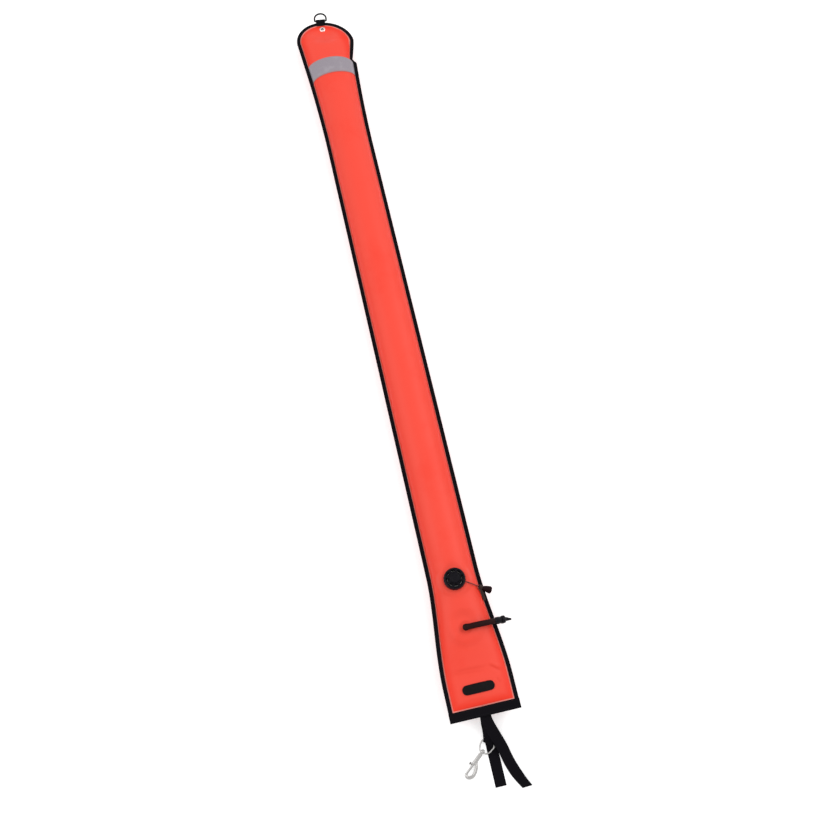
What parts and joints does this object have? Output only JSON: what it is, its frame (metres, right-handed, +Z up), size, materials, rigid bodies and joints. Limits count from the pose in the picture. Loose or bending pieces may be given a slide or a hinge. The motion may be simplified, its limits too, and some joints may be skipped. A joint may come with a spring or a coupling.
{
  "type": "surface marker buoy",
  "caption": "Closed oral-inflation fabric marker tube with dump valve, hose mouthpiece, reflective band, ring and eyelet at the head, and foot straps that carry a swivel bolt snap.",
  "frame": {"origin": "middle of the flat patch on the underside that the inflated tube rests on, half way between the foot edge and the head tip", "axes": "+Y along the tube from the foot straps to the head ring, +Z up out of the front panel, +X to the right"},
  "size_m": [0.1765, 1.9885, 0.0918],
  "materials": {
    "fabric": "satin coated red-orange fabric",
    "webbing": "black woven webbing",
    "reflective": "grey retroreflective tape",
    "rubber": "black moulded rubber",
    "hard_plastic": "black moulded plastic",
    "silicone": "translucent grey seal",
    "cord": "thin dark braided cord",
    "nickel": "nickel plate",
    "black_metal": "black coated wire",
    "steel": "polished stainless steel"
  },
  "bodies": {
    "bladder": {"front_panel": "fabric", "back_panel": "fabric", "edge_binding": "webbing", "foot_band": "webbing", "reflective_band": "reflective", "badge": "rubber", "eyelet": "nickel", "eyelet_washer": "nickel", "d_ring_tab": "webbing", "strap_tails": "webbing", "valve_base": "hard_plastic", "valve_body": "hard_plastic", "valve_cap": "hard_plastic", "valve_spring": "steel", "cord_keeper": "webbing", "inflator_elbow": "rubber"},
    "d_ring": {"d_ring": "black_metal"},
    "poppet": {"poppet": "hard_plastic", "poppet_seal": "silicone"},
    "pull": {"pull_cord": "cord", "pull_knob": "rubber"},
    "hose": {"inflator_hose": "rubber", "inflator_barrel": "hard_plastic", "check_spring": "steel"},
    "mouthpiece": {"mouthpiece": "hard_plastic", "check_seal": "silicone"},
    "lock_ring": {"lock_ring": "hard_plastic"},
    "straps": {"wrap_strap_a": "webbing", "snap_loop_strap": "webbing", "wrap_strap_b": "webbing"},
    "bail": {"snap_bail": "steel"},
    "hook": {"snap_hook": "steel", "gate_spring": "steel"},
    "gate": {"gate_bolt": "steel", "gate_thumb_knob": "steel"}
  },
  "joints": [
    {"name": "d_ring_swing", "type": "hinge", "parent": "bladder", "child": "d_ring", "pos_m": [0, 0.906, 0.03589], "axis": [0.9903, -0.1387, 0], "range_deg": [-130, 130]},
    {"name": "pull_knob_slide", "type": "slide", "parent": "bladder", "child": "pull", "axis": [0.8159, -0.3979, -0.4195], "range_m": [0, 0.005], "stiffness_N_per_m": 300},
    {"name": "poppet_lift", "type": "slide", "parent": "bladder", "child": "poppet", "axis": [0, 0, 1], "range_m": [0, 0.0025], "deforming": ["valve_spring"]},
    {"name": "hose_lift", "type": "hinge", "parent": "bladder", "child": "hose", "pos_m": [0, -0.7175, 0.06912], "axis": [0, -1, 0], "range_deg": [0, 60], "stiffness_Nm_per_rad": 0.02},
    {"name": "mouthpiece_press", "type": "slide", "parent": "hose", "child": "mouthpiece", "axis": [-0.918, 0, 0.3966], "range_m": [0, 0.0035], "stiffness_N_per_m": 500, "deforming": ["check_spring"]},
    {"name": "lock_ring_turn", "type": "hinge", "parent": "hose", "child": "lock_ring", "pos_m": [0.062, -0.7175, 0.05876], "axis": [0.918, 0, -0.3966], "range_deg": [0, 180]},
    {"name": "strap_fold", "type": "hinge", "parent": "bladder", "child": "straps", "pos_m": [-0.001, -0.9, 0.03384], "axis": [-1, 0, 0], "range_deg": [0, 90]},
    {"name": "bail_swing", "type": "hinge", "parent": "straps", "child": "bail", "pos_m": [-0.0065, -0.9532, 0.0053], "axis": [-0.7431, 0.6691, 0], "range_deg": [0, 90]},
    {"name": "hook_swivel", "type": "hinge", "parent": "bail", "child": "hook", "pos_m": [-0.02303, -0.96738, 0.0053], "axis": [-0.7771, -0.6293, 0], "continuous": true},
    {"name": "gate_slide", "type": "slide", "parent": "hook", "child": "gate", "axis": [0.7771, 0.6293, 0], "range_m": [0, 0.0085], "stiffness_N_per_m": 300, "deforming": ["gate_spring"]}
  ],
  "couplings": [
    {"joint": "poppet_lift", "follows": "pull_knob_slide", "ratio": 0.5}
  ]
}
